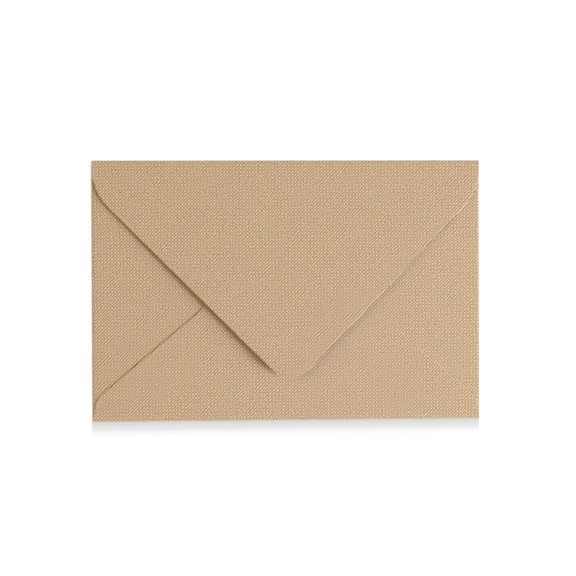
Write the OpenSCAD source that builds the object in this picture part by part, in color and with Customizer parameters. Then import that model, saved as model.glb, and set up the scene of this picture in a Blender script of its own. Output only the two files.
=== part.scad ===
// Envelope with a pointed closing flap, cut and folded from one sheet of embossed kraft paper.
// It lies on its address side with its flaps up. The closing flap is turned in but not stuck down.
// The origin is on the ground, under the middle of the envelope. X runs along the long side,
// Y runs towards the fold of the closing flap, and Z runs up. All sizes are in millimetres.

/* [Envelope] */
// Length of the closed envelope, over its two side folds
envelope_l = 180; // [160:1:230]
// Height of the closed envelope, from its bottom fold to its top fold
envelope_h = 120; // [112:1:140]

/* [Paper] */
// Thickness of the paper, over its embossed grain
paper_t = 0.3; // [0.15:0.05:0.4]
// Free height of the empty pocket, which is the inner width of the side folds
pocket_gap = 0.5; // [0.3:0.1:1.2]

/* [Closing flap] */
// Distance below the top fold at which the straight side and the slanted edge would meet
flap_shoulder_depth = 14.2; // [13:0.1:22]
// Distance below the top fold at which the two slanted edges would meet
flap_apex_depth = 105.4; // [92:0.1:108]
// Distance of that meeting point from the middle of the envelope, because the flap is cut a little skew
flap_apex_shift = 1.5; // [-4:0.5:4]
// Radius of the shoulders
flap_shoulder_r = 26; // [6:1:27]
// Radius of the tip
flap_tip_r = 12.8; // [6:0.2:20]
// Angle by which the unstuck flap springs up from its fold, in degrees
flap_lift = 1.6; // [0.5:0.1:8]
// Clearance between the closing flap and the side flaps, next to the fold
flap_clearance = 0.15; // [0.05:0.05:0.4]

/* [Bottom flap] */
// Distance from the side fold to the meeting point of the tapered end and the slanted edge
bottom_shoulder_inset = 1.75; // [0.8:0.05:4]
// Height of that meeting point over the bottom fold
bottom_shoulder_height = 10.3; // [7:0.1:14]
// Height over the bottom fold at which the two slanted edges would meet
bottom_apex_height = 84.6; // [76:0.1:92]
// Radius of the shoulders
bottom_shoulder_r = 10; // [3:1:14]
// Radius of the tip, which lies under the closing flap
bottom_tip_r = 33; // [10:1:40]

/* [Side flaps] */
// Width of the strip that the closing flap covers, square to its slanted edge
cover_w = 8; // [5:0.5:9.5]
// Width of the glued seam, where the bottom flap laps over each side flap
seam_w = 11; // [7:0.5:15]
// Depth to which the two embossed grains are pressed into each other in the glued seam
seam_bite = 0.02; // [0.01:0.01:0.05]
// Radius of the tips
side_tip_r = 8; // [3:1:14]

/* [Corners] */
// Distance from the outermost line of a side fold to the end of the top and bottom folds
corner_inset = 0.15; // [0.05:0.05:0.4]
// Length of the unfolded edge between the end of a fold and the corner notch
corner_tab_l = 0.8; // [0.4:0.1:1.5]
// Width of the notch that keeps the folds of two neighbouring flaps apart
corner_notch_w = 0.6; // [0.3:0.1:1]

/* [Hidden] */
$fn = 96;

half_l = envelope_l / 2;
half_h = envelope_h / 2;

// Inner and outer radius of each kind of fold. The flaps lie in this order on the front panel:
// the side flaps over the pocket, the bottom flap glued on them, and the closing flap loose on top.
side_inner_r = pocket_gap / 2;
side_outer_r = side_inner_r + paper_t;
bottom_inner_r = (pocket_gap + paper_t - seam_bite) / 2;
bottom_outer_r = bottom_inner_r + paper_t;
closing_inner_r = (pocket_gap + paper_t + flap_clearance) / 2;
closing_outer_r = closing_inner_r + paper_t;

// The outlines run this far past the folds, and the tool that cuts them stands this high
overrun = 1;
cutter_h = envelope_h;

// Each arc stands this little proud of the straight edges beside it, so that it always crosses them,
// and its sector is this much wider than the arc
arc_merge = 0.0005;
sector_widening = 1.1;

// Stretch of the side folds that carries the side flaps, between the corner notches
side_fold_top = half_h - closing_outer_r - corner_tab_l - corner_notch_w;
side_fold_bottom = -half_h + bottom_outer_r + corner_tab_l + corner_notch_w;

// Corners of the flap outlines before rounding, with the slanted edges between the 2nd, 3rd and 4th
fold_end_x = half_l - corner_inset;
closing_shoulder_y = half_h - flap_shoulder_depth;
closing_corners = [
    [-fold_end_x, half_h + overrun],
    [-fold_end_x, closing_shoulder_y],
    [flap_apex_shift, half_h - flap_apex_depth],
    [fold_end_x, closing_shoulder_y],
    [fold_end_x, half_h + overrun]
];
bottom_shoulder_x = half_l - bottom_shoulder_inset;
bottom_shoulder_y = -half_h + bottom_shoulder_height;
bottom_corners = [
    [-fold_end_x, -half_h - overrun],
    [-bottom_shoulder_x, bottom_shoulder_y],
    [0, -half_h + bottom_apex_height],
    [bottom_shoulder_x, bottom_shoulder_y],
    [fold_end_x, -half_h - overrun]
];

// Direction from one point to another, and the same turned by a quarter to the left
function heading(from, to) = (to - from) / norm(to - from);
function left_of(direction) = [-direction[1], direction[0]];

// The line from point a to point b, moved sideways: to its left if the distance is positive
function moved_line(a, b, distance) =
    let (shift = left_of(heading(a, b)) * distance)
    [a + shift, b + shift];

// Height of a line at a given x, and the point where two lines cross
function line_slope(line) = (line[1][1] - line[0][1]) / (line[1][0] - line[0][0]);
function line_y(line, x) = line[0][1] + line_slope(line) * (x - line[0][0]);
function crossing(line_a, line_b) =
    let (x = (line_y(line_b, 0) - line_y(line_a, 0)) / (line_slope(line_a) - line_slope(line_b)))
    [x, line_y(line_a, x)];

// Corner i of an outline, counted round, and half the angle between its two edges there
function corner_at(corners, i) = corners[(i + len(corners)) % len(corners)];
function half_angle(corners, i) =
    acos(heading(corners[i], corner_at(corners, i - 1)) * heading(corners[i], corner_at(corners, i + 1))) / 2;

// Point at which an arc of radius r at corner i touches the edge to the next (1) or last (-1) corner
function arc_end(corners, i, r, step) =
    corners[i] + heading(corners[i], corner_at(corners, i + step)) * r / tan(half_angle(corners, i));
function arc_centre(corners, i, r) =
    let (ends = [for (step = [-1, 1]) arc_end(corners, i, r, step)])
    corners[i] + heading(corners[i], (ends[0] + ends[1]) / 2) * r / sin(half_angle(corners, i));

// Convex outline with an arc at each corner that has a radius
module rounded_outline(corners, radii) {
    polygon([
        for (i = [0 : len(corners) - 1])
            each radii[i] == 0 ? [corners[i]] : [for (step = [-1, 1]) arc_end(corners, i, radii[i], step)]
    ]);
    for (i = [0 : len(corners) - 1])
        if (radii[i] > 0)
            corner_sector(corners, i, radii[i]);
}

// Sector of the disc that rounds corner i, a little wider than the arc between the two edges
module corner_sector(corners, i, r) {
    centre = arc_centre(corners, i, r);
    sides = [for (step = [-1, 1]) arc_end(corners, i, r * sector_widening, step)];
    intersection() {
        translate(centre)
            circle(r + arc_merge);
        polygon([centre, 2 * sides[0] - centre, 2 * sides[1] - centre]);
    }
}

// Section across a fold: a strip of the front panel, the bend, and the flap turned back over it.
// The first axis points out of the envelope, the second up, and the bend is centred on the origin.
module fold_section(inner_r, panel_strip, flap_strip, lift) {
    outer_r = inner_r + paper_t;
    reach = 2 * outer_r;
    translate([-panel_strip, -outer_r])
        square([panel_strip, paper_t]);
    intersection() {
        difference() {
            circle(outer_r);
            circle(inner_r);
        }
        polygon([[0, 0], [0, -reach], [reach, -reach], [reach, reach], reach * [sin(lift), cos(lift)]]);
    }
    rotate(-lift)
        translate([-flap_strip, inner_r])
            square([flap_strip, paper_t]);
}

// The same section run along a fold whose outermost line lies at a distance from the middle.
// Turned by 0 it is the top fold, by 90 the left one, by 180 the bottom one and by -90 the right one.
module folded_strip(turn, distance, fold_l, inner_r, panel_strip, flap_strip, lift = 0) {
    outer_r = inner_r + paper_t;
    rotate(turn)
        translate([0, distance - outer_r, outer_r])
            rotate([90, 0, 90])
                linear_extrude(fold_l, center = true)
                    fold_section(inner_r, panel_strip, flap_strip, lift);
}

// Keeps what lies over or under a flat outline
module cut_to_outline() {
    intersection() {
        children(0);
        translate([0, 0, -overrun])
            linear_extrude(cutter_h)
                children(1);
    }
}

// Address side, flat on the ground, between the four folds
module front_panel() {
    panel_x = half_l - side_outer_r;
    panel_bottom = -half_h + bottom_outer_r;
    panel_top = half_h - closing_outer_r;
    translate([-panel_x, panel_bottom, 0])
        cube([2 * panel_x, panel_top - panel_bottom, paper_t]);
}

// Large pointed flap on the top fold, which springs up a little towards its tip
module closing_flap() {
    cut_to_outline() {
        folded_strip(0, half_h, envelope_l, closing_inner_r, corner_tab_l, envelope_h, flap_lift);
        rounded_outline(closing_corners, [0, flap_shoulder_r, flap_tip_r, flap_shoulder_r, 0]);
    }
}

// Wide flap on the bottom fold, glued on the two side flaps
module bottom_flap() {
    cut_to_outline() {
        folded_strip(180, half_h, envelope_l, bottom_inner_r, corner_tab_l, envelope_h);
        rounded_outline(bottom_corners, [0, bottom_shoulder_r, bottom_tip_r, bottom_shoulder_r, 0]);
    }
}

// Flap on the left (-1) or right (1) fold. Its upper edge runs under the closing flap
// and its lower edge under the bottom flap, each at a fixed distance from the edge over it.
module side_flap(side) {
    shoulder = side < 0 ? 1 : 3;
    upper_edge = moved_line(closing_corners[shoulder], closing_corners[2], -side * cover_w);
    lower_edge = moved_line(bottom_corners[shoulder], bottom_corners[2], side * seam_w);
    outside_x = side * (half_l + overrun);
    corners = [
        crossing(upper_edge, lower_edge),
        [outside_x, line_y(upper_edge, outside_x)],
        [outside_x, line_y(lower_edge, outside_x)]
    ];
    cut_to_outline() {
        folded_strip(-90 * side, half_l, envelope_h, side_inner_r, corner_tab_l, half_l);
        intersection() {
            rounded_outline(corners, [side_tip_r, 0, 0]);
            translate([-half_l - overrun, side_fold_bottom])
                square([2 * (half_l + overrun), side_fold_top - side_fold_bottom]);
        }
    }
}

// The whole folded sheet. The bottom flap and the side flaps are one along the glued seams.
module envelope() {
    color("#C7AB8C") {
        front_panel();
        side_flap(-1);
        side_flap(1);
        bottom_flap();
        closing_flap();
    }
}

envelope();
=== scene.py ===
# %% [markdown]
# # An envelope folded from one sheet of embossed kraft paper
# The real object is a greeting card envelope, 180 mm long and 120 mm high, that lies on its plain side.
# It is a single sheet: a front panel with a flap on each of its four sides. The side flaps are folded in
# first, the bottom flap is glued over them, and the large pointed flap is only turned in.
# It could be drawn as a thin slab with lines on it, but then the folds and the gaps would be missing.
# So the script does what a paper maker does: it cuts the flat sheet, marks its creases and folds it.

import math
from collections import namedtuple

import bmesh
import bpy
from mathutils import Matrix, Vector, geometry


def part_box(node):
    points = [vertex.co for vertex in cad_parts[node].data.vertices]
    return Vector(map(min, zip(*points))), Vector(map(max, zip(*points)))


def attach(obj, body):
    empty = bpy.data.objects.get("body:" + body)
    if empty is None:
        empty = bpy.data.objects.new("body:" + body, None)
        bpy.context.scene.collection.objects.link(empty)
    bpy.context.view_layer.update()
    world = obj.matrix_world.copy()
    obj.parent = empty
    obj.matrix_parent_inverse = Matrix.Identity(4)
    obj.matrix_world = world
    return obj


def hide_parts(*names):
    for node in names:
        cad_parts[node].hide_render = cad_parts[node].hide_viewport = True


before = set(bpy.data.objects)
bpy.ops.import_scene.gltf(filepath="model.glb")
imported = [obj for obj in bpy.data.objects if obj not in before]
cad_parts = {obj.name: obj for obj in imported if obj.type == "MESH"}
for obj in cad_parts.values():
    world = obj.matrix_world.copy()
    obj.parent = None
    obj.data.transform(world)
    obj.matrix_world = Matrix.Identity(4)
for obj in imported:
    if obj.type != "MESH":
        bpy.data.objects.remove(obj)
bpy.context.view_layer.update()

MM = 0.001

low, high = (Vector(corner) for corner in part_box("envelope"))
print("CAD envelope in mm:", [round(side / MM, 2) for side in high - low])

# %% [markdown]
# ## Sizes of the paper and its folds
# Paper doesn't fold to a sharp line: it bends round whatever it wraps. The side folds wrap only the pocket,
# the bottom fold wraps the side flaps too, and the top fold leaves a little clearance, so each of them is
# rounder than the one before. A fold is described in the middle of the sheet's thickness, because that
# layer keeps its length when the paper is bent.

# %% Paper and folds
half_length = high.x
half_height = high.y
paper = 0.3 * MM
pocket = 0.5 * MM
seam_bite = 0.02 * MM
flap_clearance = 0.15 * MM
flap_lift = math.radians(1.6)

Fold = namedtuple("Fold", "start radius angle length")


def make_fold(edge, inner_radius, lift=0.0):
    """A fold whose outermost line lies at the edge. It turns the sheet by half a turn, less the lift."""
    radius = inner_radius + paper / 2
    angle = math.pi - lift
    return Fold(edge - inner_radius - paper, radius, angle, radius * angle)


side_fold = make_fold(half_length, pocket / 2)
bottom_fold = make_fold(half_height, (pocket + paper - seam_bite) / 2)
top_fold = make_fold(half_height, (pocket + paper + flap_clearance) / 2, flap_lift)
for name, fold in (("side", side_fold), ("bottom", bottom_fold), ("top", top_fold)):
    print(f"{name} fold: radius {fold.radius / MM:.3f} mm, {fold.length / MM:.2f} mm of sheet in the bend")

# %% [markdown]
# ## From the folded envelope to the flat sheet and back
# The outlines are known on the folded envelope, as the camera sees them, but they are cut on the flat
# sheet. One function says where a folded point lies on the flat sheet, and its partner folds it again.

# %% Unfold and fold one distance
def flat_distance(fold, distance):
    """Distance from the middle on the flat sheet, for a point of the turned-in flap."""
    bend_end = fold.start + fold.radius * math.sin(fold.angle)
    return fold.start + fold.length + (bend_end - distance) / abs(math.cos(fold.angle))


def fold_turn(fold, distance):
    """Angle by which a fold has turned the sheet, at a distance from the middle of the flat sheet."""
    return min(max(distance - fold.start, 0.0) / fold.radius, fold.angle)


def folded_place(fold, distance):
    """Distance from the middle and height over the panel, for a point of the flat sheet."""
    turn = fold_turn(fold, distance)
    past_bend = max(distance - fold.start - fold.length, 0.0)
    out = fold.radius * math.sin(turn) + past_bend * math.cos(fold.angle)
    up = fold.radius * (1 - math.cos(turn)) + past_bend * math.sin(fold.angle)
    return min(distance, fold.start) + out, up


there = flat_distance(top_fold, 0.0)
back, height_there = folded_place(top_fold, there)
print(f"a point over the middle: {there / MM:.2f} mm out on the flat sheet, folded to {back / MM:.2f} mm",
      f"and {height_there / MM:.2f} mm up")

# %% [markdown]
# ## The corners of the flaps
# Each flap is a triangle with cut-off, rounded corners. The corners are written down as they look on the
# folded envelope: how far a shoulder lies from the fold, and where the two slanted edges would meet. The
# closing flap is cut a little skew, so its edges meet 1.5 mm right of the middle.

# %% Corners of the flaps, seen on the folded envelope
fold_end = half_length - 0.15 * MM
corner_tab = 0.8 * MM
corner_notch = 0.6 * MM

closing_shoulder = Vector((fold_end, half_height - 14.2 * MM, 0))
closing_apex = Vector((1.5 * MM, half_height - 105.4 * MM, 0))
closing_shoulder_radius = 26 * MM
closing_tip_radius = 12.8 * MM

bottom_shoulder = Vector((half_length - 1.75 * MM, -half_height + 10.3 * MM, 0))
bottom_apex = Vector((0, -half_height + 84.6 * MM, 0))
bottom_shoulder_radius = 10 * MM
bottom_tip_radius = 33 * MM

print("closing flap covers", round((half_height - closing_apex.y) / MM, 1), "mm before its tip is rounded")

# %% [markdown]
# ## The hidden edges of the side flaps
# A side flap goes in under its two neighbours. Its edges follow the ones that lie over them, as on the real
# thing: one strip is covered by the closing flap, and the other is glued under the bottom flap.

# %% Edges of the side flaps
covered_strip = 8 * MM
glued_strip = 11 * MM
side_tip_radius = 8 * MM
side_fold_foot = -bottom_fold.start + corner_tab + corner_notch


def hidden_edge(side, end, shoulder, apex, strip):
    """The slanted edge of the top (1) or bottom (-1) flap, moved in under it by the width of a strip."""
    start = Vector((side * shoulder.x, shoulder.y, 0))
    sideways = (apex - start).normalized().cross(Vector((0, 0, 1)))
    shift = sideways * strip * side * end
    return start + shift, apex + shift


def crossing(edge_a, edge_b):
    """The point where two edges meet if they are made long enough."""
    return geometry.intersect_line_line(*edge_a, *edge_b)[0]


for side in (-1, 1):
    upper = hidden_edge(side, 1, closing_shoulder, closing_apex, covered_strip)
    lower = hidden_edge(side, -1, bottom_shoulder, bottom_apex, glued_strip)
    print("tip of a side flap in mm:", [round(value / MM, 1) for value in crossing(lower, upper).xy])

# %% [markdown]
# ## Walk once round the sheet
# The outline is one list of corners, each with the radius of its rounding. It goes round the sheet
# counter-clockwise: bottom flap, right flap, closing flap, left flap. Between two flaps there is a small
# notch, which keeps their folds from pressing on each other. It could be four flaps joined to a panel, but
# one outline gives one clean face.

# %% Corners of a side flap on the flat sheet
def side_flap_corners(side):
    """Corners of the left (-1) or right (1) flap, from its foot to its upper end."""
    upper = hidden_edge(side, 1, closing_shoulder, closing_apex, covered_strip)
    lower = hidden_edge(side, -1, bottom_shoulder, bottom_apex, glued_strip)
    foot_line = [Vector((x, side_fold_foot, 0)) for x in (-half_length, half_length)]
    fold_line = [Vector((side * side_fold.start, y, 0)) for y in (-half_height, half_height)]
    foot = crossing(lower, foot_line)
    tip = crossing(lower, upper)
    top = crossing(upper, fold_line)
    bend_end = side_fold.start + side_fold.length
    rows = [
        (side_fold.start, side_fold_foot, 0),
        (flat_distance(side_fold, side * foot.x), foot.y, 0),
        (flat_distance(side_fold, side * tip.x), tip.y, side_tip_radius),
        (bend_end, top.y, 0),
        (side_fold.start, top.y, 0),
    ]
    return [(Vector((side * x, y, 0)), radius) for x, y, radius in rows]


print("corners of a side flap:", len(side_flap_corners(1)))

# %% [markdown]
# The top and bottom flaps are alike: a short straight tab at each end of the fold, then a rounded shoulder,
# and the tip between the shoulders. So one function lists both.

# %% Corners of the top and bottom flaps on the flat sheet
def end_flap_corners(fold, end, shoulder, apex, shoulder_radius, tip_radius):
    """Corners of the top (1) or bottom (-1) flap, from right to left."""
    tab_y = fold.start - corner_tab
    shoulder_y = flat_distance(fold, end * shoulder.y)
    apex_y = flat_distance(fold, end * apex.y)
    bend_y = fold.start + fold.length
    rows = [
        (side_fold.start, tab_y, 0),
        (fold_end, tab_y, 0),
        (fold_end, bend_y, 0),
        (shoulder.x, shoulder_y, shoulder_radius),
        (apex.x, apex_y, tip_radius),
        (-shoulder.x, shoulder_y, shoulder_radius),
        (-fold_end, bend_y, 0),
        (-fold_end, tab_y, 0),
        (-side_fold.start, tab_y, 0),
    ]
    return [(Vector((x, end * y, 0)), radius) for x, y, radius in rows]


top_corners = end_flap_corners(
    top_fold, 1, closing_shoulder, closing_apex, closing_shoulder_radius, closing_tip_radius)
bottom_corners = end_flap_corners(
    bottom_fold, -1, bottom_shoulder, bottom_apex, bottom_shoulder_radius, bottom_tip_radius)
outline = bottom_corners[::-1] + side_flap_corners(1) + top_corners + side_flap_corners(-1)[::-1]
print("corners in the outline:", len(outline))

# %% [markdown]
# ## Round the corners
# A straight stretch of the outline needs only its two ends. A rounding is made by spinning one vertex
# about the middle of the arc, which leaves a chain of short edges behind. A bevel of the corners would do
# too, but its arc isn't quite round on a blunt corner.

# %% Draw one corner
ARC_STEP = math.radians(3)


def draw_corner(bm, before, corner, after, radius):
    """Adds one corner, as a vertex or as a spun arc, and returns its first and its last vertex."""
    if radius == 0:
        vertex = bm.verts.new(corner)
        return vertex, vertex
    back = (before - corner).normalized()
    ahead = (after - corner).normalized()
    half = back.angle(ahead) / 2
    centre = corner + (back + ahead).normalized() * radius / math.sin(half)
    first = bm.verts.new(corner + back * radius / math.tan(half))
    turn = math.pi - 2 * half
    steps = math.ceil(turn / ARC_STEP)
    made = bmesh.ops.spin(
        bm, geom=[first], cent=centre, axis=(0, 0, 1), angle=turn, steps=steps, use_duplicate=False)
    last = [item for item in made["geom_last"] if isinstance(item, bmesh.types.BMVert)][0]
    return first, last


print("edges in a quarter turn:", math.ceil(math.radians(90) / ARC_STEP))

# %% [markdown]
# ## Cut the sheet
# Each corner is joined to the next one by an edge, and the closed chain is filled with one large face.

# %% Draw and fill the outline
CM = 0.01


def cut_sheet(bm, corners):
    """Draws the outline through all the corners and fills it with one face."""
    count = len(corners)
    ends = []
    for i, (corner, radius) in enumerate(corners):
        ends.append(draw_corner(bm, corners[i - 1][0], corner, corners[(i + 1) % count][0], radius))
    for i, (_, last) in enumerate(ends):
        bm.edges.new((last, ends[(i + 1) % count][0]))
    bmesh.ops.contextual_create(bm, geom=bm.edges[:])


def reach(bm, axis):
    """Lowest and highest place of a mesh along an axis."""
    places = [vertex.co[axis] for vertex in bm.verts]
    return min(places), max(places)


sheet = bmesh.new()
cut_sheet(sheet, outline)
flat_area = sum(face.calc_area() for face in sheet.faces)
flat_width, flat_depth = (reach(sheet, axis)[1] - reach(sheet, axis)[0] for axis in (0, 1))
print(f"flat sheet: {flat_width / MM:.1f} x {flat_depth / MM:.1f} mm, {flat_area / CM ** 2:.1f} square cm,",
      f"{len(sheet.verts)} vertices, {len(sheet.faces)} face")

# %% [markdown]
# ## Press the cut edge
# The cutting die squeezes the paper along its outline, so the sheet gets thinner in the last half
# millimetre, and that narrow slope catches the light. A bevel can't make such a slope on a flat sheet, but
# two insets give the outline two parallel lines: the slope lies outside the first, and the strip up to the
# second keeps the shading of the slope off the rest.

# %% Inset the outline twice
PRESSED_STRIP = 0.5 * MM
STEADY_STRIP = 0.25 * MM

inner_face = sheet.faces[:]
for strip in (PRESSED_STRIP, STEADY_STRIP):
    bmesh.ops.inset_region(
        sheet, faces=inner_face, thickness=strip, use_even_offset=True, use_boundary=True)
print("faces with the pressed edge:", len(sheet.faces))

# %% [markdown]
# ## Mark the creases
# A mesh bends only where it has vertices. Bisecting the face with planes adds lines across it: many close
# ones in each bend, and a wider net elsewhere, which keeps the large faces even in size. The net's lines
# keep off the bends, so that no face gets too thin.

# %% Places of the lines
BEND_STEPS = 12
NET = 2.5 * MM
KEEP_OFF = 0.8 * MM


def bend_lines(fold):
    """Distances from the middle at which the lines of a bend lie."""
    return [fold.start + fold.length * i / BEND_STEPS for i in range(BEND_STEPS + 1)]


def net_lines(lowest, highest, bends):
    """Evenly spaced lines between two limits, without those that come near a bend."""
    first = math.ceil(lowest / NET)
    last = math.floor(highest / NET)
    lines = [i * NET for i in range(first, last + 1)]
    return [line for line in lines if all(abs(line - bend) > KEEP_OFF for bend in bends)]


bends_x = [side * line for side in (-1, 1) for line in bend_lines(side_fold)]
bends_y = [-line for line in bend_lines(bottom_fold)] + bend_lines(top_fold)
print("lines in the bends:", len(bends_x), "upright and", len(bends_y), "level")

# %% [markdown]
# Each line is one bisection of the whole sheet. A vertex that already lies nearer to it than a ten
# thousandth of a millimetre is taken as it is.

# %% Add the lines
SNAP = 0.0001 * MM


def bisect(bm, axis, place):
    """Adds a line across the whole sheet, square to an axis."""
    point, normal = Vector((0, 0, 0)), Vector((0, 0, 0))
    point[axis] = place
    normal[axis] = 1
    everything = bm.verts[:] + bm.edges[:] + bm.faces[:]
    bmesh.ops.bisect_plane(bm, geom=everything, dist=SNAP, plane_co=point, plane_no=normal)


for axis, bends in ((0, bends_x), (1, bends_y)):
    for place in bends + net_lines(*reach(sheet, axis), bends):
        bisect(sheet, axis, place)
print("faces after marking:", len(sheet.faces))

# %% [markdown]
# ## Keep the flat places as a UV map
# The grain was pressed into the flat sheet, before it was cut and folded. So the material has to know
# where each point lay on the flat sheet. A UV map keeps that place in metres, with the middle of the front
# panel at zero, and the grain then turns with each flap as it does on real paper.

# %% Write the UV map
sheet_uv = sheet.loops.layers.uv.new("sheet")
for face in sheet.faces:
    for loop in face.loops:
        loop[sheet_uv].uv = loop.vert.co.xy
print("UV map in metres:", sheet.loops.layers.uv.keys())

# %% [markdown]
# ## Mark where the paper is thin
# A weight on each vertex says how thick the paper is there: 1 is its full thickness, and 0 is the least
# that the die leaves, on the outline of the closing flap. The edges of the other flaps lie in the glue or
# next to it, which swells them again a little, so they get a weight between the two. The deform layer
# becomes a vertex group, which the thickness reads later.

# %% Weigh the outline
GLUED_EDGE = 0.45

full_thickness = sheet.verts.layers.deform.verify()
for vertex in sheet.verts:
    edge_weight = 0.0 if vertex.co.y > top_fold.start else GLUED_EDGE
    vertex[full_thickness][0] = edge_weight if vertex.is_boundary else 1.0
print("vertices on the outline:", sum(vertex.is_boundary for vertex in sheet.verts))

# %% [markdown]
# ## Mark where the folds get painted light
# The curved outside of a fold turns down towards the ground, where less light reaches it, so its colour is
# paled there: painted light. A number on each vertex says how far out it will lie: 1 is the outermost line
# of a side fold or of the top fold, and 0 is flat paper. The bottom fold gets no painted light and keeps
# its colour.

# %% Mark the folds
# Painted light: how far the colour is paled on the outside of the folds
painted_light = sheet.verts.layers.float.new("painted_light")
for vertex in sheet.verts:
    turns = (fold_turn(side_fold, abs(vertex.co.x)), fold_turn(top_fold, vertex.co.y))
    vertex[painted_light] = max(math.sin(turn) for turn in turns)
print("vertices in the rubbed folds:", sum(vertex[painted_light] > 0.1 for vertex in sheet.verts))

# %% [markdown]
# ## Fold the sheet
# Every vertex goes through two folds: the one on its side, left or right, and the one at its end, top or
# bottom. The sheet's middle layer starts half a thickness over the ground. Bones or a bend modifier could
# fold it too, but a function keeps the length of the paper exactly.

# %% Fold every vertex
def fold_vertex(place):
    """Where a vertex of the flat sheet goes."""
    x, y = abs(place.x), abs(place.y)
    end_fold = top_fold if place.y > 0 else bottom_fold
    folded_y, rise = folded_place(end_fold, y)
    # The top and bottom flaps and their tabs reach past the side folds, but aren't bent by them
    is_side_flap = x > side_fold.start and y <= end_fold.start - corner_tab
    if is_side_flap:
        x, side_rise = folded_place(side_fold, x)
        rise += side_rise
    return Vector((math.copysign(x, place.x), math.copysign(1, place.y) * folded_y, paper / 2 + rise))


for vertex in sheet.verts:
    vertex.co = fold_vertex(vertex.co)
bmesh.ops.recalc_face_normals(sheet, faces=sheet.faces[:])
for edge in sheet.edges:
    edge.smooth = not edge.is_boundary
print(f"highest point of the middle layer: {reach(sheet, 2)[1] / MM:.2f} mm")

# %% Make the object
mesh = bpy.data.meshes.new("folded_sheet")
sheet.to_mesh(mesh)
sheet.free()
for polygon in mesh.polygons:
    polygon.use_smooth = True
folded_sheet = bpy.data.objects.new("folded_sheet", mesh)
bpy.context.scene.collection.objects.link(folded_sheet)

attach(folded_sheet, "root")
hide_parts("envelope")
print("folded sheet:", len(mesh.vertices), "vertices before it gets its thickness")

# %% [markdown]
# ## Give the sheet its thickness
# The mesh so far is the middle layer of the paper. Solidify grows it to both sides, which keeps each flap
# clear of the next, and the weights tell it where the paper is thinner. The cut rim gets the second
# material slot. An extrusion would do too, but it would grow to one side only.

# %% Thickness
PRESSED_SHARE = 0.3

folded_sheet.vertex_groups.new(name="full_thickness")
thickness = folded_sheet.modifiers.new("thickness", "SOLIDIFY")
thickness.thickness = paper
thickness.offset = 0
thickness.use_even_offset = True
thickness.vertex_group = "full_thickness"
thickness.thickness_vertex_group = PRESSED_SHARE
thickness.material_offset_rim = 1
print(f"thickness: {paper / MM:.2f} mm, and {paper * PRESSED_SHARE / MM:.2f} mm at the closing flap's edge")

# %% [markdown]
# ## Colours and nodes
# A hex code is made for screens, which show a dark value darker than its number, but the shader counts
# light. So one function turns each code to linear. The paper is built from nodes, because a picture of
# paper would repeat and show its borders, and another function adds a node with its settings and links.

# %% Colour and node helpers
def srgb(code):
    """Linear colour of an sRGB hex code."""
    parts = [int(code[i:i + 2], 16) / 255 for i in (1, 3, 5)]
    return [p / 12.92 if p <= 0.04045 else ((p + 0.055) / 1.055) ** 2.4 for p in parts] + [1.0]


def add_node(tree, kind, inputs=(), **settings):
    """Adds a node with its settings. Each input gets a value, or a link if it is given a socket."""
    node = tree.nodes.new(kind)
    for name, value in settings.items():
        setattr(node, name, value)
    for name, value in dict(inputs).items():
        if isinstance(value, bpy.types.NodeSocket):
            tree.links.new(value, node.inputs[name])
        else:
            node.inputs[name].default_value = value
    return node


print("the middle grey #808080 gives this share of the light:", round(srgb("#808080")[0], 3))

# %% [markdown]
# ## Where the embossing has its hills
# Rollers leave the same little hill every 1.5 mm along the sheet and across it. Rollers aren't exact, so
# the places first drift by about a tenth of a millimetre. Then they are counted in turns of the rollers.
# Blender's noise has its middle at 0.5, and strays from it by about 0.16.

# %% Turns of the rollers
GRAIN = 1.5 * MM
NOISE_MIDDLE = 0.5
NOISE_SPREAD = 0.16
DRIFT = 0.12 * MM
DRIFT_PERIOD = 6 * MM


def roller_turns(tree, place):
    """Node that gives how far the rollers have turned at a place on the sheet, as X and Y angles."""
    wander = add_node(tree, "ShaderNodeTexNoise",
                      {"Vector": place, "Scale": 1 / DRIFT_PERIOD, "Detail": 0.0}, noise_dimensions="2D")
    shifted = add_node(tree, "ShaderNodeVectorMath",
                       {0: wander.outputs["Color"], 1: [DRIFT / NOISE_SPREAD] * 2 + [0], 2: place},
                       operation="MULTIPLY_ADD")
    turns = add_node(tree, "ShaderNodeVectorMath",
                     {0: shifted.outputs["Vector"], "Scale": math.tau / GRAIN}, operation="SCALE")
    return add_node(tree, "ShaderNodeSeparateXYZ", {"Vector": turns.outputs["Vector"]})


print("hills along the front panel:", round(2 * half_length / GRAIN))

# %% [markdown]
# ## The hills
# Such a field of hills is the sum of four waves: the strongest runs along the diagonal and joins the hills
# into rows, two more run along the sides, and one follows the other diagonal. The first three are kept in
# one vector, because Blender's vector nodes work on three numbers at once. Each of them grows here and
# fades there, by twice what the noise strays from its middle. Real hills would need millions of faces.

# %% Height of the hills
WAVES = (1.3, 0.43, 0.37)
CROSS_WAVE = 0.6
FADING = 2.0
FADING_PERIOD = 2.5 * MM


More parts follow.
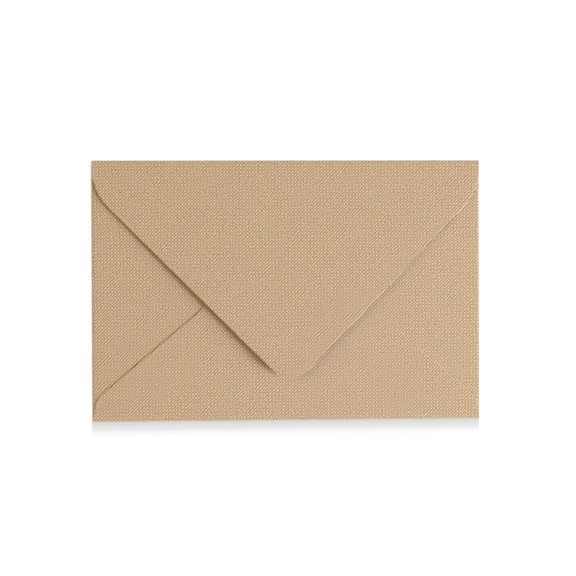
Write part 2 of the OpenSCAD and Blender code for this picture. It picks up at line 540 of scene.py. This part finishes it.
def hill_height(tree, place):
    """Height of the hills at a place on the sheet, up or down from their middle."""
    side = roller_turns(tree, place)
    both = add_node(tree, "ShaderNodeMath", {0: side.outputs["X"], 1: side.outputs["Y"]}, operation="ADD")
    phases = add_node(tree, "ShaderNodeCombineXYZ",
                      {"X": both.outputs["Value"], "Y": side.outputs["X"], "Z": side.outputs["Y"]})
    waves = add_node(tree, "ShaderNodeVectorMath", {0: phases.outputs["Vector"]}, operation="COSINE")

    fading = add_node(tree, "ShaderNodeTexNoise",
                      {"Vector": place, "Scale": 1 / FADING_PERIOD, "Detail": 0.0}, noise_dimensions="2D")
    strength = add_node(tree, "ShaderNodeVectorMath",
                        {0: fading.outputs["Color"], 1: [FADING] * 3, 2: [1 - FADING * NOISE_MIDDLE] * 3},
                        operation="MULTIPLY_ADD")
    faded = add_node(tree, "ShaderNodeVectorMath",
                     {0: waves.outputs["Vector"], 1: strength.outputs["Vector"]}, operation="MULTIPLY")
    hills = add_node(tree, "ShaderNodeVectorMath",
                     {0: faded.outputs["Vector"], 1: WAVES}, operation="DOT_PRODUCT")

    difference = add_node(tree, "ShaderNodeMath",
                          {0: side.outputs["X"], 1: side.outputs["Y"]}, operation="SUBTRACT")
    cross = add_node(tree, "ShaderNodeMath", {0: difference.outputs["Value"]}, operation="COSINE")
    hills = add_node(tree, "ShaderNodeMath",
                     {0: cross.outputs["Value"], 1: CROSS_WAVE, 2: hills.outputs["Value"]},
                     operation="MULTIPLY_ADD")
    return hills.outputs["Value"]


print("height of an average hill, in units of the bump:", round(sum(WAVES) + CROSS_WAVE, 2))

# %% [markdown]
# ## The fibres
# Last come the paper's own fibres, which break up the rows. Real ones are too fine to show in the picture,
# so they are drawn as coarse as they need to show, 0.4 mm long. They add eight times what the noise strays
# from its middle.

# %% Fibres over the hills
FIBRES = 8.0
FIBRE_PERIOD = 0.4 * MM


def add_fibres(tree, place, hills):
    """Height of the hills with the fibres on top."""
    noise = add_node(tree, "ShaderNodeTexNoise",
                     {"Vector": place, "Scale": 1 / FIBRE_PERIOD, "Detail": 1.0}, noise_dimensions="2D")
    fibres = add_node(tree, "ShaderNodeMath",
                      {0: noise.outputs["Fac"], 1: NOISE_MIDDLE}, operation="SUBTRACT")
    both = add_node(tree, "ShaderNodeMath",
                    {0: fibres.outputs["Value"], 1: FIBRES, 2: hills}, operation="MULTIPLY_ADD")
    return both.outputs["Value"]


print("fibres over the length of a hill:", round(GRAIN / FIBRE_PERIOD, 1))

# %% [markdown]
# ## Embossed kraft paper
# Kraft paper is brown because its pulp isn't bleached, and matt because nothing coats it. The colour
# follows
# the height of the grain: painted shade darkens the valleys, where little light reaches, and painted light
# brightens the tops of the hills. A bump tilts the light by the same height. The rollers only mark the
# paper, by a few hundredths of a millimetre. The painted shade is darkest 2.2 below the middle height and
# the painted light palest 2.2 above it, and both stay so beyond. The painted light on a fold is as pale as
# the top of a hill, so the colour takes the paler of the two.

# %% Grain of the paper
BUMP = 0.01 * MM
HEIGHT_RANGE = 2.2
# Painted shade in the valleys and painted light on the hill tops
SHADED_VALLEY, LIT_HILL = "#8D632C", "#F2D8B9"

paper_material = bpy.data.materials.new("embossed_kraft_paper")
paper_material.use_nodes = True
paper_tree = paper_material.node_tree
paper_shader = paper_tree.nodes["Principled BSDF"]
paper_shader.inputs["Roughness"].default_value = 0.8

sheet_place = add_node(paper_tree, "ShaderNodeUVMap", uv_map="sheet").outputs["UV"]
height = add_fibres(paper_tree, sheet_place, hill_height(paper_tree, sheet_place))
grain_bump = add_node(paper_tree, "ShaderNodeBump", {"Height": height, "Strength": 1.0, "Distance": BUMP})
paper_tree.links.new(grain_bump.outputs["Normal"], paper_shader.inputs["Normal"])

# Painted shade and painted light that follow the height of the grain
painted_relief_shade = add_node(paper_tree, "ShaderNodeMapRange",
                {"Value": height, "From Min": -HEIGHT_RANGE, "From Max": HEIGHT_RANGE})
# Painted light on the outside of the folds
fold_painted_light = add_node(paper_tree, "ShaderNodeAttribute", attribute_name="painted_light")
painted_paleness = add_node(paper_tree, "ShaderNodeMath",
                    {0: fold_painted_light.outputs["Fac"], 1: painted_relief_shade.outputs["Result"]}, operation="MAXIMUM")
colour = add_node(paper_tree, "ShaderNodeMix",
                  {"Factor": painted_paleness.outputs["Value"], "A": srgb(SHADED_VALLEY), "B": srgb(LIT_HILL)},
                  data_type="RGBA")
print("nodes in the grain:", len(paper_tree.nodes))

# %% [markdown]
# ## Clouds in the pulp
# Pulp is never quite even, so wide clouds tint the paper a little redder here and a little yellower there.
# The eye hardly sees them, but without them the sheet looks printed.

# %% Clouds in the colour
CLOUD = 18 * MM
REDDISH, YELLOWISH = "#FFFAFB", "#FAFFF7"

clouds = add_node(paper_tree, "ShaderNodeTexNoise",
                  {"Vector": sheet_place, "Scale": 1 / CLOUD, "Detail": 1.0}, noise_dimensions="2D")
tint = add_node(paper_tree, "ShaderNodeMix",
                {"Factor": clouds.outputs["Fac"], "A": srgb(REDDISH), "B": srgb(YELLOWISH)},
                data_type="RGBA")
tinted = add_node(paper_tree, "ShaderNodeMix",
                  {"Factor": 1.0, "A": colour.outputs["Result"], "B": tint.outputs["Result"]},
                  data_type="RGBA", blend_type="MULTIPLY")
paper_tree.links.new(tinted.outputs["Result"], paper_shader.inputs["Base Color"])
folded_sheet.data.materials.append(paper_material)
print("nodes in the paper:", len(paper_tree.nodes))

# %% [markdown]
# ## The cut edge
# The rim of the sheet isn't embossed. It is only 0.1 to 0.2 mm wide, wholly matt and a little paler than
# the face, because it shows the torn ends of the fibres: light and dark ones change along the edge.

# %% Material of the cut edge
TORN_DARK, TORN_PALE = "#B89C78", "#E6CEB0"

cut_material = bpy.data.materials.new("cut_edge_of_kraft_paper")
cut_material.use_nodes = True
cut_tree = cut_material.node_tree
cut_shader = cut_tree.nodes["Principled BSDF"]
cut_shader.inputs["Roughness"].default_value = 0.9

edge_place = add_node(cut_tree, "ShaderNodeUVMap", uv_map="sheet").outputs["UV"]
torn_ends = add_node(cut_tree, "ShaderNodeTexNoise",
                     {"Vector": edge_place, "Scale": 1 / FIBRE_PERIOD, "Detail": 1.0},
                     noise_dimensions="2D")
cut_colour = add_node(cut_tree, "ShaderNodeMix",
                      {"Factor": torn_ends.outputs["Fac"], "A": srgb(TORN_DARK), "B": srgb(TORN_PALE)},
                      data_type="RGBA")
cut_tree.links.new(cut_colour.outputs["Result"], cut_shader.inputs["Base Color"])
folded_sheet.data.materials.append(cut_material)
print("materials of the sheet:", [slot.name for slot in folded_sheet.data.materials])

# %% [markdown]
# ## The ground
# The envelope lies on a plain white ground. It is one large face, a hair below the paper, so that the two
# don't share a plane.

# %% Ground
HALF_GROUND = 3.0
GROUND_GAP = 0.02 * MM

ground_bm = bmesh.new()
bmesh.ops.create_grid(ground_bm, x_segments=1, y_segments=1, size=HALF_GROUND)
bmesh.ops.translate(ground_bm, verts=ground_bm.verts[:], vec=(0, 0, -GROUND_GAP))
ground_mesh = bpy.data.meshes.new("ground")
ground_bm.to_mesh(ground_mesh)
ground_bm.free()
ground = bpy.data.objects.new("ground", ground_mesh)
bpy.context.scene.collection.objects.link(ground)
print("ground:", [round(side, 2) for side in ground.dimensions], "m")

# %% [markdown]
# ## White for the camera, grey for the light
# Ground that is lit to white would need light enough to bleach the paper. So it is a plain pale grey for
# the light that bounces off it, and whiter than white for the camera and for reflections. It has no gloss,
# and it still keeps its shadow.

# %% Material of the ground
GROUND_GREY = (0.9, 0.9, 0.9, 1)
GROUND_WHITE = (1.545, 1.545, 1.545, 1)

ground_material = bpy.data.materials.new("white_ground")
ground_material.use_nodes = True
ground_tree = ground_material.node_tree
ground_shader = ground_tree.nodes["Principled BSDF"]
ground_shader.inputs["Roughness"].default_value = 1.0
ground_shader.inputs["Specular IOR Level"].default_value = 0.0

rays = add_node(ground_tree, "ShaderNodeLightPath")
seen = add_node(ground_tree, "ShaderNodeMath",
                {0: rays.outputs["Is Camera Ray"], 1: rays.outputs["Is Glossy Ray"]}, operation="ADD")
seen = add_node(ground_tree, "ShaderNodeMath",
                {0: seen.outputs["Value"], 1: rays.outputs["Is Transmission Ray"]}, operation="ADD",
                use_clamp=True)
ground_colour = add_node(ground_tree, "ShaderNodeMix",
                         {"Factor": seen.outputs["Value"], "A": GROUND_GREY, "B": GROUND_WHITE},
                         data_type="RGBA")
ground_tree.links.new(ground_colour.outputs["Result"], ground_shader.inputs["Base Color"])
ground.data.materials.append(ground_material)
print("nodes in the ground:", len(ground_tree.nodes))

# %% [markdown]
# ## A lamp with a share of the light
# A lamp's power says little about how bright it makes a thing. So the helper takes the share of full light
# that the lamp gives the middle of the ground, and works the power out from its distance and its height.
# A white thing looks fully white when pi watts of light fall on a square metre of it, and a flat lamp
# sends one pi-th of its power straight ahead, so the power has pi squared in it. The lamp's direction is
# given in degrees, first round from the right and then up from the ground. A lamp can also be kept to one
# object, as a studio does with flags and screens.

# %% Lamp helpers
def lit_only(name, piece):
    """A collection with one object, for a lamp that lights nothing else."""
    collection = bpy.data.collections.new(name)
    collection.objects.link(piece)
    return collection


def add_softbox(name, azimuth, elevation, distance, width, height, share, colour, receivers):
    """A lamp that looks at the middle. Share is the part of full light that it gives there."""
    lamp = bpy.data.lights.new(name, "AREA")
    lamp.shape = "RECTANGLE"
    lamp.size = width
    lamp.size_y = height
    lamp.color = srgb(colour)[:3]
    around, up = math.radians(azimuth), math.radians(elevation)
    lamp.energy = share * math.pi ** 2 * distance ** 2 / math.sin(up)
    lamp_object = bpy.data.objects.new(name, lamp)
    bpy.context.scene.collection.objects.link(lamp_object)
    away = Vector((math.cos(around) * math.cos(up), math.sin(around) * math.cos(up), math.sin(up)))
    lamp_object.location = away * distance
    lamp_object.rotation_euler = away.to_track_quat("Z", "Y").to_euler()
    lamp_object.light_linking.receiver_collection = receivers
    print(f"{name}: {lamp.energy:.1f} W")


print("full light takes", round(math.pi ** 2, 2), "W from one metre straight above")

# %% [markdown]
# ## Light the paper
# Paper shows its folds and its grain only in light that comes from one side and from low down. The main
# window stands on the right, 20 degrees up, and is cool, as daylight is. A weak one on the other side
# draws the soft line along the right edge of the closing flap.

# %% Windows
paper_only = lit_only("lit_by_the_windows", folded_sheet)
add_softbox("side_window", azimuth=-18, elevation=19.5, distance=1.6, width=0.83, height=1.0,
            share=0.845, colour="#DDECFF", receivers=paper_only)
add_softbox("far_window", azimuth=165, elevation=32, distance=1.8, width=0.9, height=1.03,
            share=0.205, colour="#FFF8E5", receivers=paper_only)

# %% [markdown]
# ## The sky
# The sky fills what the windows leave dark. It is warm, so that the shadows on the brown paper stay brown.

# %% Sky
SKY_COLOUR = "#FFDA9C"
SKY_STRENGTH = 0.266

world = bpy.data.worlds.new("studio")
world.use_nodes = True
sky = world.node_tree.nodes["Background"]
sky.inputs["Color"].default_value = srgb(SKY_COLOUR)
sky.inputs["Strength"].default_value = SKY_STRENGTH
bpy.context.scene.world = world
print("sky:", [round(part * SKY_STRENGTH, 3) for part in srgb(SKY_COLOUR)[:3]])

# %% [markdown]
# ## Light the ground
# The shadow on the ground is soft and falls only towards the viewer, so its light comes from behind: the
# higher window sets the dark part next to the paper, and the low one makes the long tail. The ground has
# lamps of its own, because the paper's windows would throw shadows to the left. Its ceiling lamp is blue
# enough to balance the warm sky, so that the shadow stays grey.

# %% Lamps for the ground
ground_only = lit_only("lit_from_behind", ground)
add_softbox("ceiling", azimuth=90, elevation=85, distance=1.5, width=2.0, height=2.0,
            share=0.573, colour="#BADBFF", receivers=ground_only)
add_softbox("back_window", azimuth=84, elevation=26, distance=3.0, width=0.8, height=1.15,
            share=0.095, colour="#FFFFFF", receivers=ground_only)
add_softbox("low_back_window", azimuth=84, elevation=11, distance=3.0, width=0.8, height=0.75,
            share=0.17, colour="#FFFFFF", receivers=ground_only)

# %% [markdown]
# ## Camera
# The photo was taken from almost straight above, with a long lens: the sides of the envelope run nearly
# parallel. The tilts and the roll are the ones at which the four corners fall where the photo has them.

# %% Camera
CAMERA_DISTANCE = 1.0
LENS = 134.9
SENSOR_WIDTH = 36
tilt_x = math.radians(-4.47)
tilt_y = math.radians(0.82)
roll = math.radians(0.231)
target = Vector((0.52, 0.99, 0)) * MM

camera = bpy.data.cameras.new("camera")
camera.lens = LENS
camera.sensor_width = SENSOR_WIDTH
camera_object = bpy.data.objects.new("camera", camera)
bpy.context.scene.collection.objects.link(camera_object)
away = Vector((math.tan(tilt_x), math.tan(tilt_y), 1)).normalized()
camera_object.location = target + away * CAMERA_DISTANCE
right = Vector((math.sin(roll), math.cos(roll), 0)).cross(away).normalized()
up = away.cross(right)
camera_object.rotation_euler = Matrix((right, up, away)).transposed().to_euler()
bpy.context.scene.camera = camera_object
bpy.context.scene.view_settings.view_transform = "Standard"
print("camera at, in mm:", [round(value / MM, 1) for value in camera_object.location])
